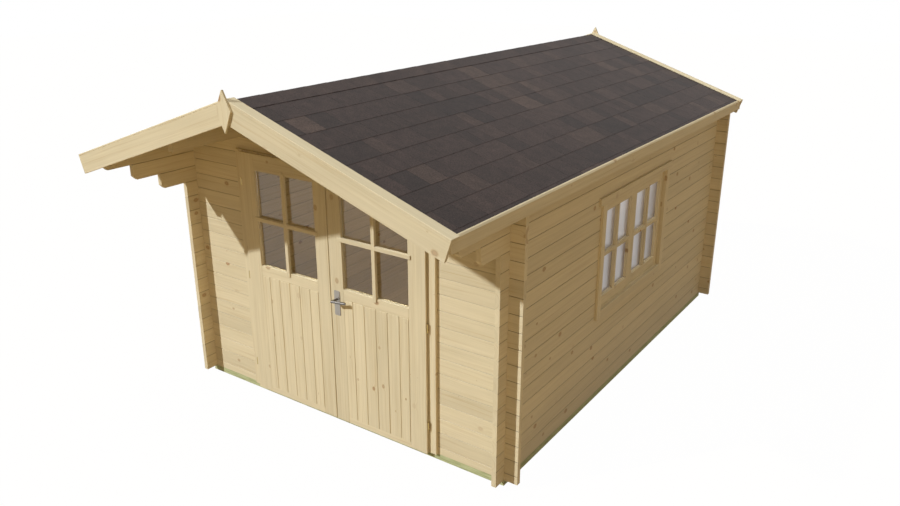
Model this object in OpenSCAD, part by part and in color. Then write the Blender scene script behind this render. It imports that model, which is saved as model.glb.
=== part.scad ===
// Garden house of notched logs: gabled roof with a deep front overhang carried by stepped eave logs,
// a glazed double door in the front wall and one double casement window in the right wall.
// X runs to the right, Y to the back and Z up. The origin is on the ground, under the middle.

/* [Log walls] */
// Width over the side walls' outer faces
wall_w = 2800; // [2500:10:3400]
// Length over the front and back walls' outer faces
wall_l = 3800; // [3200:10:5000]
// Thickness of a log
log_t = 34; // [28:1:45]
// Height that one log covers
log_h = 113; // [100:1:130]
// Rows of logs in a side wall
log_rows = 17; // [17:1:19]
// Length of the log ends past the crossing wall
log_end = 100; // [60:5:160]
// Bevel along a log's edges, which makes the joint lines
log_bevel = 3.5; // [2:0.5:6]

/* [Eave logs] */
// Rows at the top of a side wall that step forward under the overhang
step_rows = 3; // [2:1:4]
// Set-back of the highest log's end behind the front barge boards
step_set = 43; // [10:1:80]
// Set-back of each log below the one over it
step_more = 217; // [120:1:220]
// Chamfer under a stepped end
step_chamfer = 28; // [20:1:60]

/* [Base and floor] */
// Height of the base beams
beam_h = 45; // [40:1:70]
// Width of the base beams
beam_w = 70; // [55:1:100]
// Number of floor joists
joist_count = 6; // [4:1:8]
// Width of a floor joist
joist_w = 45; // [35:1:60]
// Thickness of the floor boards
floor_t = 19; // [16:1:28]
// Gap between the floor boards and the walls
floor_gap = 1; // [0.5:0.5:10]

/* [Roof] */
// Pitch of both slopes in degrees
roof_pitch = 18.8; // [15:0.1:24]
// Roof boards in front of the front wall
front_overhang = 792; // [700:1:1000]
// Roof boards behind the ends of the logs at the back
rear_out = 75; // [30:1:300]
// Fascia's outer face past the ends of the logs
eave_out = 30; // [26:1:120]
// Thickness of the roof boards
board_t = 20; // [16:1:28]
// Thickness of the lapped shingles
shingle_t = 8; // [6:0.5:12]
// Width of the ridge cap on each slope
cap_w = 120; // [80:5:160]
// Thickness of the ridge cap
cap_t = 3; // [2:0.5:5]

/* [Purlins] */
// Width of the purlins
purlin_w = 45; // [40:1:70]
// Height of the ridge purlin
ridge_h = 145; // [100:5:180]
// Height of the side purlins
purlin_h = 138; // [90:1:145]
// Distance of a side purlin's middle inwards from the side wall's outer face
purlin_in = 700; // [600:10:850]
// Set-back of the purlins' front ends behind the front barge boards
purlin_set = 100; // [20:5:160]

/* [Roof trim] */
// Width of the barge boards
barge_w = 124; // [100:1:160]
// Thickness of the barge boards
barge_t = 20; // [16:1:28]
// Barge end past the fascia
barge_out = 4; // [3:1:40]
// Width of the cover strips along the gable edges
strip_w = 77; // [45:1:90]
// Thickness of the cover strips
strip_t = 12; // [9:1:20]
// Thickness of the eave fascias
fascia_t = 18; // [14:1:25]
// Height of a fascia's outer face
fascia_h = 80; // [45:1:100]
// Thickness of a finial
finial_t = 14; // [10:1:22]
// Width of a finial
finial_w = 124; // [90:1:160]
// Height of a finial
finial_h = 249; // [220:1:300]
// Tip of a finial above the barge strips
finial_up = 52; // [30:1:90]
// Height of a finial's shoulders above its lower tip
finial_shoulder = 132; // [110:1:150]

/* [Door] */
// Middle of the door from the middle of the wall
door_x = 0; // [-100:5:100]
// Width of one leaf, from the middle line
leaf_w = 817; // [700:1:850]
// Top of the leaves below the eaves
leaf_drop = 36; // [30:1:80]
// Foot of the leaves below the top of the base beams
leaf_under = 4; // [1:1:10]
// Thickness of the lip that lies over the frame
lip_t = 15; // [13:1:20]
// Thickness of a leaf behind its lip
core_t = 23; // [20:1:30]
// Width that the lip lies past the leaf's core
lip_w = 23; // [18:1:30]
// Width of the stiles in the leaf's core
stile_w = 115; // [90:1:125]
// Height of the top rail
top_rail = 121; // [90:1:130]
// Height of the middle rail
mid_rail = 77; // [60:1:110]
// Top of the middle rail above the ground
mid_rail_top = 1091; // [1000:1:1200]
// Height of the bottom rail
foot_rail = 45; // [40:1:90]
// Height of the bottom rail's core, behind the panel's foot
foot_core = 92; // [60:1:120]
// Thickness of the boarded panels
panel_t = 16; // [12:1:20]
// Recess of the panels behind the leaf's face
panel_in = 6; // [3:1:8]
// Thickness of the door glass
glass_t = 4; // [3:1:6]
// Recess of the glass behind the leaf's face
glass_in = 22; // [16:1:26]

/* [Door frame] */
// Face of the frame before the wall
frame_out = 22; // [18:1:40]
// Width of the frame that shows beside a leaf
frame_show = 61; // [45:1:80]
// Frame above the leaves
head_show = 8; // [4:1:12]
// Frame on the wall past the door opening
frame_lap = 22; // [15:1:40]
// Thickness of the frame's inner flange
frame_in = 20; // [12:1:25]
// Height of the sill above the floor
sill_up = 14; // [10:1:20]

/* [Door fittings] */
// Diameter of a hinge barrel
barrel_d = 12; // [10:0.5:14]
// Length of one half of a hinge barrel
barrel_l = 30; // [24:1:40]
// Diameter of a hinge pin
pin_d = 6; // [5:0.5:7]
// Distance of the outer hinges from the leaf's ends
hinge_end = 220; // [150:10:300]
// Width of a handle plate
plate_w = 50; // [36:1:55]
// Height of a handle plate
plate_h = 185; // [160:5:240]
// Distance of the plates' middle below the spindle
plate_low = 29; // [0:1:40]
// Thickness of a handle plate
plate_t = 4; // [2.5:0.5:6]
// Distance of the spindle from the middle line
backset = 60; // [50:1:70]
// Height of the spindle above the ground
spindle_z = 1006; // [940:1:1030]
// Thickness of the square spindle
spindle_w = 8; // [6:0.5:9]
// Length of a lever grip between its ends' middles
lever_l = 100; // [80:5:125]
// Thickness of a lever
lever_d = 19; // [14:0.5:22]
// Stand of the levers before their plates
lever_out = 54; // [46:1:60]
// Slope of the grips towards the door in degrees
lever_slope = 12.5; // [0:0.5:15]

/* [Window] */
// Middle of the window from the front wall's outer face
window_y = 1900; // [1500:10:2300]
// Width of the window opening
window_w = 1240; // [900:10:1500]
// Rows of logs that the window takes, under the eave logs
window_rows = 8; // [6:1:8]
// Width of the window frame's members
wframe_w = 38; // [30:1:60]
// Frame's inner edge past the wall's inner face
wframe_in = 16; // [14:1:24]
// Width of the sash stiles
sash_w = 48; // [38:1:70]
// Height of the sash rails
sash_rail = 80; // [50:1:95]
// Thickness of the sashes
sash_t = 34; // [32:1:40]
// Recess of the sashes behind the wall's outer face
sash_in = 14; // [4:1:16]
// Recess of the window glass behind the sash's face
pane_in = 26; // [20:1:28]
// Thickness of the outer trims
trim_t = 21; // [15:1:28]
// Width of the side trims
trim_w = 60; // [50:1:120]
// Height of the head trim
head_trim = 56; // [50:1:75]
// Head trim past the side trims
head_trim_out = 46; // [10:1:60]
// Height of the foot trim
foot_trim = 61; // [45:1:75]

/* [Fits] */
// Clearance of moving pieces
play = 5; // [5:0.5:8]
// Clearance between the two leaves
leaf_gap = 7; // [7:0.5:10]
// Clearance of fitted wooden pieces
fit = 0.3; // [0.1:0.1:0.6]
// Clearance round a hinge pin and a spindle
pin_fit = 0.3; // [0.2:0.1:0.5]

/* [Hidden] */
$fn = 48;

pine = "#dcc89c";
green_pine = "#a9ab7d";
bitumen = "#4a4644";
steel = "#a9a7a2";
pane = "#9fa6a6";

// Wall planes
half_w = wall_w / 2;
front_y = (front_overhang - wall_l - log_end - rear_out) / 2;
back_y = front_y + wall_l;
roof_front = front_y - front_overhang;
roof_rear = back_y + log_end + rear_out;
eave_z = beam_h + log_rows * log_h;
step_z = eave_z - step_rows * log_h;
purlin_x = half_w - purlin_in;
head_z = eave_z - log_h / 2;
gable_z = eave_z + log_h / 2;

// Roof planes: each is a height above the underside of the roof boards, measured square to the slope
n_shingle = board_t;
n_strip = board_t + shingle_t;
n_top = n_strip + strip_t;
n_barge = n_strip - barge_w;
fascia_x = half_w + log_end + eave_out;
board_x = fascia_x - fascia_t;
peak_z = under(0) + n_top / cos(roof_pitch);

// Door planes and edges
leaf_foot = beam_h - leaf_under;
leaf_top = eave_z - leaf_drop;
lip_back = -frame_out - play;
leaf_face = lip_back - lip_t;
leaf_back = lip_back + core_t;
core_w = leaf_w - lip_w;
sill_z = beam_h + floor_t + sill_up;
core_foot = sill_z + play;
core_top = leaf_top - lip_w + play;
rebate_w = core_w + play;
frame_w = leaf_w + frame_show;
opening_w = frame_w - frame_lap;
frame_top = leaf_top + head_show;
frame_ys = [-frame_out, 0, log_t, log_t + frame_in];
light_foot = mid_rail_top;
light_top = leaf_top - top_rail;
panel_foot = leaf_foot + foot_rail;
panel_top = mid_rail_top - mid_rail;
panel_back = leaf_face + panel_in + panel_t;
inner_x = leaf_gap / 2 + stile_w;
outer_x = core_w - stile_w;
hinge_x = leaf_w + barrel_d / 2 + 1;
hinge_y = (leaf_face + lip_back) / 2;
hinge_zs = [leaf_foot + hinge_end, (leaf_foot + leaf_top) / 2, leaf_top - hinge_end];
shank_d = barrel_d / 2 + 1;
neck_d = lever_d - 2;

// Window planes and edges
window_z1 = step_z;
window_z0 = window_z1 - window_rows * log_h;
sash_face = half_w - sash_in;
light_w = window_w - 2 * wframe_w;
light_z0 = window_z0 + wframe_w;
light_z1 = window_z1 - wframe_w;
sash_lw = (light_w - 3 * fit) / 2;

// Height of the roof boards' underside at a distance x from the middle
function under(x) = eave_z + (half_w - abs(x)) * tan(roof_pitch);

// Point above the under-roof plane: x where the plumb foot stands, n square to the slope
function on_slope(x, n) = [x + n * sin(roof_pitch), under(x) + n * cos(roof_pitch)];

// Point at the ridge, n above the under-roof plane
function at_ridge(n) = [fit / 2, under(fit / 2) + n / cos(roof_pitch)];

// Joints between logs from z0 to z1; phase 0 is a side wall and 0.5 an end wall
function joints(z0, z1, phase) =
    [for (k = [0:2 * log_rows]) let (z = beam_h + (k + phase) * log_h) if (z > z0 + 1 && z < z1 - 1) z];

// One face of a stack of logs as [inset, height] from z0 to z1, with a bevel at every joint
function log_face(z0, z1, phase, foot, head) = concat(
    foot ? [[log_bevel, z0], [0, z0 + log_bevel]] : [[0, z0]],
    [for (z = joints(z0, z1, phase)) each [[0, z - log_bevel], [log_bevel, z], [0, z + log_bevel]]],
    head ? [[0, z1 - log_bevel], [log_bevel, z1]] : [[0, z1]]);

// Section of a stack of logs: the outer face on 0 and the inner face on log_t
module log_section(z0, z1, phase, foot, head) {
    face = log_face(z0, z1, phase, foot, head);
    polygon(concat(face, [for (i = [len(face) - 1:-1:0]) [log_t - face[i][0], face[i][1]]]));
}

// Extrudes an outline drawn in X and Z from y0 to y1
module along_y(y0, y1) {
    translate([0, y1, 0])
        rotate([90, 0, 0])
            linear_extrude(y1 - y0)
                children();
}

// Extrudes a section drawn in Y and Z from x0 to x1
module along_x(x0, x1) {
    translate([x0, 0, 0])
        rotate([90, 0, 90])
            linear_extrude(x1 - x0)
                children();
}

// Box between two corners
module block(a, b) {
    translate(a)
        cube(b - a);
}

// Half-log notches where a crossing log passes; phase 0 leaves room for the end walls' logs
module notches(x0, x1, y0, y1, phase) {
    for (k = [0:log_rows + 1])
        block([x0, y0, beam_h + (k + phase - 0.25) * log_h - fit],
              [x1, y1, beam_h + (k + phase + 0.25) * log_h + fit]);
}

// Stack of logs along X between two heights, cut to the roof's underside, the side walls and the purlins
module end_wall(y0, z0, z1, x0, x1, foot, head) {
    reach = half_w + log_end + 1;
    difference() {
        intersection() {
            along_x(x0, x1)
                translate([y0, 0])
                    log_section(z0, z1, 0.5, foot, head);
            along_y(y0 - 1, y0 + log_t + 1)
                polygon([[-reach, 0], [reach, 0], [reach, under(reach) - fit], [0, under(0) - fit],
                         [-reach, under(reach) - fit]]);
        }
        for (s = [-1, 1])
            notches(s * (half_w - log_t / 2) - log_t / 2 - fit, s * (half_w - log_t / 2) + log_t / 2 + fit,
                    y0 - 1, y0 + log_t + 1, 0.5);
        if (z1 > head_z)
            along_y(y0 - 1, y0 + log_t + 1)
                purlin_sections(fit);
    }
}

// Stack of logs along Y between two heights; side is -1 for the left wall and 1 for the right
module side_logs(side, z0, z1, y0, y1, foot, head) {
    mirror([side < 0 ? 1 : 0, 0, 0])
        difference() {
            along_y(y0, y1)
                translate([half_w, 0])
                    mirror([1, 0])
                        log_section(z0, z1, 0, foot, head);
            side_notches();
        }
}

// Cuts for the front and back walls in the right side wall
module side_notches() {
    for (y = [front_y, back_y - log_t])
        notches(half_w - log_t - 1, half_w + 1, y - fit, y + log_t + fit, 0);
}

// Front end of the eave log in row k above the stepped logs' foot
function eave_end(k) = roof_front + step_set + (step_rows - 1 - k) * step_more;

// Eave logs of the right wall: each steps further forward, and the top one is bevelled to the roof
module eave_logs() {
    top_z = under(half_w - log_t);
    difference() {
        intersection() {
            along_y(eave_end(step_rows - 1), back_y + log_end)
                translate([half_w, 0])
                    mirror([1, 0])
                        log_section(step_z, top_z, 0, true, false);
            along_x(half_w - log_t - 1, half_w + 1)
                polygon(concat([[back_y + log_end + 1, top_z + 1], [back_y + log_end + 1, step_z - 1]],
                    [for (k = [0:step_rows - 1]) let (y = eave_end(k), z = step_z + k * log_h)
                        each [[y + step_chamfer, z - (k == 0 ? 1 : 0)], [y + step_chamfer, z],
                              [y, z + step_chamfer], [y, z + log_h]]],
                    [[eave_end(step_rows - 1), top_z + 1]]));
            along_y(eave_end(step_rows - 1) - 1, back_y + log_end + 1)
                polygon([[half_w - log_t - 1, step_z - 1], [half_w + 1, step_z - 1],
                         [half_w + 1, under(half_w + 1) - fit],
                         [half_w - log_t - 1, under(half_w - log_t - 1) - fit]]);
        }
        side_notches();
    }
}

module side_beams() {
    color(green_pine)
        for (s = [-1, 1])
            block([s * (half_w - beam_w / 2) - beam_w / 2, front_y, 0],
                  [s * (half_w - beam_w / 2) + beam_w / 2, back_y, beam_h]);
}

module end_beams() {
    color(green_pine)
        for (y = [front_y, back_y - beam_w])
            block([beam_w - half_w + fit, y, 0], [half_w - beam_w - fit, y + beam_w, beam_h]);
}

module floor_joists() {
    bay = (wall_l - 2 * beam_w) / (joist_count + 1);
    color(green_pine)
        for (k = [1:joist_count])
            translate([0, front_y + beam_w + k * bay, 0])
                block([beam_w - half_w + fit, -joist_w / 2, 0], [half_w - beam_w - fit, joist_w / 2, beam_h]);
}

module floor_boards() {
    color(pine)
        block([log_t - half_w + floor_gap, front_y + log_t + floor_gap, beam_h],
              [half_w - log_t - floor_gap, back_y - log_t - floor_gap, beam_h + floor_t]);
}

module front_wall_left() {
    color(pine)
        end_wall(front_y, beam_h, head_z, -half_w - log_end, door_x - opening_w - fit, false, true);
}

module front_wall_right() {
    color(pine)
        end_wall(front_y, beam_h, head_z, door_x + opening_w + fit, half_w + log_end, false, true);
}

// Log over the door, notched for the frame's head
module front_wall_top() {
    color(pine)
        difference() {
            end_wall(front_y, head_z, gable_z, -half_w - log_end, half_w + log_end, true, true);
            block([door_x - opening_w - fit, front_y - 1, head_z - 1],
                  [door_x + opening_w + fit, front_y + log_t + 1, frame_top + fit]);
        }
}

module front_gable() {
    color(pine)
        end_wall(front_y, gable_z, peak_z, -half_w, half_w, true, false);
}

module back_wall() {
    color(pine)
        end_wall(back_y - log_t, beam_h, gable_z, -half_w - log_end, half_w + log_end, false, true);
}

module back_gable() {
    color(pine)
        end_wall(back_y - log_t, gable_z, peak_z, -half_w, half_w, true, false);
}

module left_wall() {
    color(pine)
        side_logs(-1, beam_h, step_z, front_y - log_end, back_y + log_end, false, true);
}

module left_eave_logs() {
    color(pine)
        mirror([1, 0, 0])
            eave_logs();
}

module right_wall_lower() {
    color(pine)
        side_logs(1, beam_h, window_z0, front_y - log_end, back_y + log_end, false, true);
}

module right_wall_front() {
    color(pine)
        side_logs(1, window_z0, step_z, front_y - log_end, front_y + window_y - window_w / 2 - fit, true, true);
}

module right_wall_rear() {
    color(pine)
        side_logs(1, window_z0, step_z, front_y + window_y + window_w / 2 + fit, back_y + log_end, true, true);
}

module right_eave_logs() {
    color(pine)
        eave_logs();
}

// Section of the ridge purlin, bevelled to both slopes and grown all round by more
module ridge_section(more) {
    x = purlin_w / 2 + more;
    foot = under(0) - ridge_h - more;
    lift = more - fit;
    polygon([[-x, foot], [x, foot], [x, under(x) + lift], [0, under(0) + lift], [-x, under(x) + lift]]);
}

// Section of the right side purlin, bevelled to the slope and grown by more
module purlin_section(more) {
    x0 = purlin_x - purlin_w / 2 - more;
    x1 = purlin_x + purlin_w / 2 + more;
    foot = under(purlin_x) - purlin_h - more;
    lift = more - fit;
    polygon([[x0, foot], [x1, foot], [x1, under(x1) + lift], [x0, under(x0) + lift]]);
}

module purlin_sections(more) {
    ridge_section(more);
    for (s = [0, 1])
        mirror([s, 0])
            purlin_section(more);
}

module ridge_purlin() {
    color(pine)
        along_y(roof_front + purlin_set, roof_rear - fit)
            ridge_section(0);
}

module side_purlins() {
    color(pine)
        both_slopes()
            along_y(roof_front + purlin_set, roof_rear - fit)
                purlin_section(0);
}

// Roof boards of the right slope, with a plumb cut at the eave
module roof_boards() {
    along_y(roof_front + fit, roof_rear - fit)
        polygon([at_ridge(0), [board_x, under(board_x)],
                 [board_x, under(board_x) + board_t / cos(roof_pitch)], at_ridge(board_t)]);
}

module roof_boards_left() {
    color(pine)
        mirror([1, 0, 0])
            roof_boards();
}

module roof_boards_right() {
    color(pine)
        roof_boards();
}

// Shingles of the right slope, over the roof boards and up to the fascia
module shingles() {
    x = board_x - fit;
    along_y(roof_front + fit, roof_rear - fit)
        polygon([at_ridge(n_shingle + fit), [x, under(x) + (n_shingle + fit) / cos(roof_pitch)],
                 [x, under(x) + n_strip / cos(roof_pitch)], at_ridge(n_strip)]);
}

module shingles_left() {
    color(bitumen)
        mirror([1, 0, 0])
            shingles();
}

module shingles_right() {
    color(bitumen)
        shingles();
}

module ridge_cap() {
    n0 = n_strip + fit;
    edge = on_slope(cap_w, n0);
    top_edge = on_slope(cap_w, n0 + cap_t);
    color(bitumen)
        along_y(roof_front - barge_t + strip_w + fit, roof_rear + barge_t - strip_w - fit)
            polygon([[0, under(0) + n0 / cos(roof_pitch)], edge, top_edge,
                     [0, under(0) + (n0 + cap_t) / cos(roof_pitch)],
                     [-top_edge[0], top_edge[1]], [-edge[0], edge[1]]]);
}

// Section of a board along the right slope, with a square end below x and a plumb cut at the ridge
module slope_board(n0, n1) {
    x = fascia_x + barge_out;
    polygon([at_ridge(n0), on_slope(x, n0), on_slope(x, n1), at_ridge(n1)]);
}

module both_slopes() {
    children();
    mirror([1, 0, 0])
        children();
}

module front_barge_boards() {
    color(pine)
        both_slopes()
            along_y(roof_front - barge_t, roof_front)
                slope_board(n_barge, n_strip);
}

module rear_barge_boards() {
    color(pine)
        both_slopes()
            along_y(roof_rear, roof_rear + barge_t)
                slope_board(n_barge, n_strip);
}

module front_cover_strips() {
    color(pine)
        both_slopes()
            along_y(roof_front - barge_t, roof_front - barge_t + strip_w)
                slope_board(n_strip, n_top);
}

module rear_cover_strips() {
    color(pine)
        both_slopes()
            along_y(roof_rear + barge_t - strip_w, roof_rear + barge_t)
                slope_board(n_strip, n_top);
}

module finials() {
    tip = peak_z + finial_up;
    foot = tip - finial_h;
    shoulder = foot + finial_shoulder;
    color(pine)
        for (y = [roof_front - barge_t - finial_t, roof_rear + barge_t])
            along_y(y, y + finial_t)
                polygon([[0, foot], [finial_w / 2, shoulder], [2, tip], [-2, tip], [-finial_w / 2, shoulder]]);
}

// Fascias that close the eaves up to the shingles' upper faces, under the ends of the cover strips
module fascias() {
    top = n_strip / cos(roof_pitch) - fit;
    color(pine)
        both_slopes()
            along_y(roof_front + fit, roof_rear - fit)
                polygon([[board_x, under(fascia_x) + top - fascia_h], [fascia_x, under(fascia_x) + top - fascia_h],
                         [fascia_x, under(fascia_x) + top], [board_x, under(board_x) + top]]);
}

// Section of a jamb, seen from above: a face on the wall, a web through it and an inner flange
module jamb() {
    translate([rebate_w, 0]) {
        translate([0, -frame_out])
            square([frame_w - rebate_w, frame_out]);
        square([opening_w - rebate_w, log_t]);
        translate([0, log_t])
            square([frame_w - rebate_w, frame_in]);
    }
}

// Bar of the frame between its jambs in three layers, each from its foot to one top
module frame_bar(foots, top) {
    for (i = [0:2])
        block([door_x - rebate_w + fit, front_y + frame_ys[i], foots[i]],
              [door_x + rebate_w - fit, front_y + frame_ys[i + 1], top]);
}

module door_frame() {
    foots = [beam_h, beam_h, beam_h + floor_t];
    head_foot = core_top + play;
    color(pine) {
        for (s = [-1, 1])
            intersection() {
                translate([door_x, front_y, beam_h])
                    mirror([s < 0 ? 1 : 0, 0, 0])
                        linear_extrude(frame_top - beam_h)
                            jamb();
                union()
                    for (i = [0:2])
                        block([door_x - frame_w - 1, front_y + frame_ys[i], foots[i]],
                              [door_x + frame_w + 1, front_y + frame_ys[i + 1], frame_top]);
            }
        frame_bar([head_foot, head_foot, head_foot], frame_top);
        frame_bar(foots, sill_z);
    }
}

// Places its children on the three hinge axes of one side
module at_hinges(side) {
    for (z = hinge_zs)
        translate([door_x + side * hinge_x, front_y + hinge_y, z])
            children();
}

// Frame halves of the hinges: a barrel with the pin, on a shank that meets the frame
module hinge_pins() {
    color(steel)
        for (s = [-1, 1])
            at_hinges(s) {
                translate([0, 0, -barrel_l])
                    cylinder(d = barrel_d, h = barrel_l);
                cylinder(d = pin_d, h = barrel_l);
                translate([0, 0, -barrel_l / 2])
                    rotate([-90, 0, 0])
                        cylinder(d = shank_d, h = -frame_out - hinge_y);
            }
}

// Leaf halves of the hinges: a bored barrel on a shank that meets the leaf's edge
module hinge_barrels(side) {
    color(steel)
        at_hinges(side)
            difference() {
                union() {
                    translate([0, 0, pin_fit])
                        cylinder(d = barrel_d, h = barrel_l);
                    translate([0, 0, barrel_l / 2])
                        rotate([0, -side * 90, 0])
                            cylinder(d = shank_d, h = hinge_x - leaf_w);
                }
                translate([0, 0, -1])
                    cylinder(d = pin_d + 2 * pin_fit, h = barrel_l + 2);
            }
}

// Leaf of stiles and rails, drawn for the right side of the middle line: a core with a lip all round,
// and a bottom rail whose core stands behind the panel
module leaf() {
    difference() {
        union() {
            block([leaf_gap / 2, leaf_face, leaf_foot], [leaf_w, lip_back, leaf_top]);
            block([leaf_gap / 2, lip_back, core_foot], [core_w, leaf_back, core_top]);
        }
        block([inner_x, leaf_face - 1, light_foot], [outer_x, leaf_back + 1, light_top]);
        block([inner_x, leaf_face - 1, panel_foot], [outer_x, panel_back + fit, panel_top]);
        block([inner_x, leaf_face, core_foot + foot_core], [outer_x, leaf_back + 1, panel_top]);
    }
}

module panel() {
    block([inner_x + fit, leaf_face + panel_in, panel_foot + fit],
          [outer_x - fit, panel_back, panel_top - fit]);
}

module leaf_glass() {
    block([inner_x + fit, leaf_face + glass_in, light_foot + fit],
          [outer_x - fit, leaf_face + glass_in + glass_t, light_top - fit]);
}

// Places a piece of a leaf on its side of the door
module leaf_side(side) {
    translate([door_x, front_y, 0])
        mirror([side < 0 ? 1 : 0, 0, 0])
            children();
}

module door_leaf_left() {
    color(pine)
        leaf_side(-1)
            leaf();
}

module door_panel_left() {
    color(pine)
        leaf_side(-1)
            panel();
}

module door_glass_left() {
    color(pane)
        leaf_side(-1)
            leaf_glass();
}

module hinge_barrels_left() {
    hinge_barrels(-1);
}

module door_leaf_right() {
    color(pine)
        difference() {
            leaf_side(1)
                leaf();
            translate([door_x + backset, front_y + leaf_face - 1, spindle_z])
                rotate([-90, 0, 0])
                    cylinder(d = neck_d + 2, h = leaf_back - leaf_face + 2);
        }
}

module door_panel_right() {
    color(pine)
        leaf_side(1)
            panel();
}

module door_glass_right() {
    color(pane)
        leaf_side(1)
            leaf_glass();
}

module hinge_barrels_right() {
    hinge_barrels(1);
}

// Long plates on both faces of the right leaf, bored for the spindle
module handle_plates() {
    color(steel)
        difference() {
            for (y = [leaf_face - plate_t, leaf_back])
                translate([door_x + backset, front_y + y, spindle_z - plate_low])
                    along_y(0, plate_t)
                        square([plate_w, plate_h], center = true);
            translate([door_x + backset, front_y + leaf_face - plate_t - 1, spindle_z])
                rotate([-90, 0, 0])
                    cylinder(d = neck_d + 2 * pin_fit, h = leaf_back - leaf_face + 2 * plate_t + 2);
        }
}

// One lever: a neck through the plate at y and a sloping round grip with ball ends; out is -1 or 1
module lever(y, out) {
    grip_y = y + out * (plate_t + lever_out);
    translate([0, min(y, grip_y), 0])
        rotate([-90, 0, 0])
            cylinder(d = neck_d, h = plate_t + lever_out);
    translate([0, grip_y, 0])
        rotate([0, 0, -out * lever_slope]) {
        rotate([0, 90, 0])
            cylinder(d = lever_d, h = lever_l);
        for (x = [0, lever_l])
            translate([x, 0, 0])
                sphere(d = lever_d);
    }
}

module handle_levers() {
    color(steel)
        translate([door_x + backset, front_y, spindle_z]) {
            lever(leaf_face, -1);
            lever(leaf_back, 1);
            block([-spindle_w / 2, leaf_face - 1, -spindle_w / 2], [spindle_w / 2, leaf_back + 1, spindle_w / 2]);
        }
}

// Places its children at the window: X along the wall from its middle, Y outwards from the wall's face
module at_window() {
    translate([half_w, front_y + window_y, 0])
        rotate([0, 0, 90])
            mirror([0, 1, 0])
                children();
}

module window_frame() {
    color(pine)
        at_window()
            difference() {
                block([-window_w / 2, -log_t - wframe_in, window_z0 + fit], [window_w / 2, 0, window_z1 - fit]);
                block([-light_w / 2, -log_t - wframe_in - 1, light_z0], [light_w / 2, 1, light_z1]);
            }
}

// Outer trims: side boards under a longer head board, and a foot board between them
module window_trims() {
    side_in = light_w / 2;
    side_out = side_in + trim_w;
    color(pine)
        at_window() {
            for (s = [-1, 1])
                block([s * (side_in + trim_w / 2) - trim_w / 2, 0, light_z0 - foot_trim],
                      [s * (side_in + trim_w / 2) + trim_w / 2, trim_t, light_z1 - fit]);
            block([-side_out - head_trim_out, 0, light_z1], [side_out + head_trim_out, trim_t, light_z1 + head_trim]);
            block([-side_in + fit, 0, light_z0 - foot_trim], [side_in - fit, trim_t, light_z0]);
        }
}

// Two casements side by side
module window_sashes() {
    z0 = light_z0 + fit;
    z1 = light_z1 - fit;
    color(pine)
        at_window()
            for (s = [-1, 1])
                translate([s * (sash_lw + fit) / 2, 0, 0])
                    difference() {
                        block([-sash_lw / 2, -sash_in - sash_t, z0], [sash_lw / 2, -sash_in, z1]);
                        block([sash_w - sash_lw / 2, -sash_in - sash_t - 1, z0 + sash_rail],
                              [sash_lw / 2 - sash_w, 1, z1 - sash_rail]);
                    }
}

module window_glass() {
    z0 = light_z0 + sash_rail + 2 * fit;
    z1 = light_z1 - sash_rail - 2 * fit;
    color(pane)
        at_window()
            for (s = [-1, 1])
                translate([s * (sash_lw + fit) / 2, 0, 0])
                    block([sash_w + fit - sash_lw / 2, -sash_in - pane_in - glass_t, z0],
                          [sash_lw / 2 - sash_w - fit, -sash_in - pane_in, z1]);
}

side_beams();
end_beams();
floor_joists();
floor_boards();
front_wall_left();
front_wall_right();
front_wall_top();
front_gable();
back_wall();
back_gable();
left_wall();
left_eave_logs();
right_wall_lower();
right_wall_front();
right_wall_rear();
right_eave_logs();
ridge_purlin();
side_purlins();
roof_boards_left();
roof_boards_right();
shingles_left();
shingles_right();
ridge_cap();
front_barge_boards();
rear_barge_boards();
front_cover_strips();
rear_cover_strips();
finials();
fascias();
door_frame();
hinge_pins();
door_leaf_left();
door_panel_left();
door_glass_left();
hinge_barrels_left();
door_leaf_right();
door_panel_right();
door_glass_right();
hinge_barrels_right();
handle_plates();
handle_levers();
window_frame();
window_trims();
window_sashes();
window_glass();
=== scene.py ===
# %% [markdown]
# # A garden house of notched logs
# The house stands as the construction model has it: logs, beams, roof planes, door frame and hinges.
# This lesson dresses it. It lays boards and shingles where the model has plain sheets, builds the doors
# and the window from their stiles and rails, and gives every piece the look of its real material.

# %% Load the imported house
import math
import random

import bpy
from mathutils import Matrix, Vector


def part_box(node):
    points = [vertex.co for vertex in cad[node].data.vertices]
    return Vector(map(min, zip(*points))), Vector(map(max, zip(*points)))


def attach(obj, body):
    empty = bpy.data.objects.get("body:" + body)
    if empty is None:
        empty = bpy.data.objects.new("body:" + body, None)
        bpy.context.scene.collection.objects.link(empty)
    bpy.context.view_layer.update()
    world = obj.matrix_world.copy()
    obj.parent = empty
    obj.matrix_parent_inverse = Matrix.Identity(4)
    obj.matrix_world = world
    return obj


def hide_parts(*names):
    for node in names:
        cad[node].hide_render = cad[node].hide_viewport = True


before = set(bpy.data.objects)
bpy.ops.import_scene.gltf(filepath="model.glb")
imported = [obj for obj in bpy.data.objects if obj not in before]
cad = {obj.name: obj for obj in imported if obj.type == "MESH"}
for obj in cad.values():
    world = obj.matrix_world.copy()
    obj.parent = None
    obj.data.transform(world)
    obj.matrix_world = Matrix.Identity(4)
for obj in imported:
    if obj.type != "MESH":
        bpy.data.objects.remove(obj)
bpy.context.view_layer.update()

# %% [markdown]
# The construction model's own sizes come first, in metres. Planes that several pieces share get a name
# here, and the rest is read from the boxes of the nodes that a piece replaces or rides beside. FIT is the
# hair's breadth that the model leaves between two pieces that touch, and CLEAR is a gap that shows.

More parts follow.
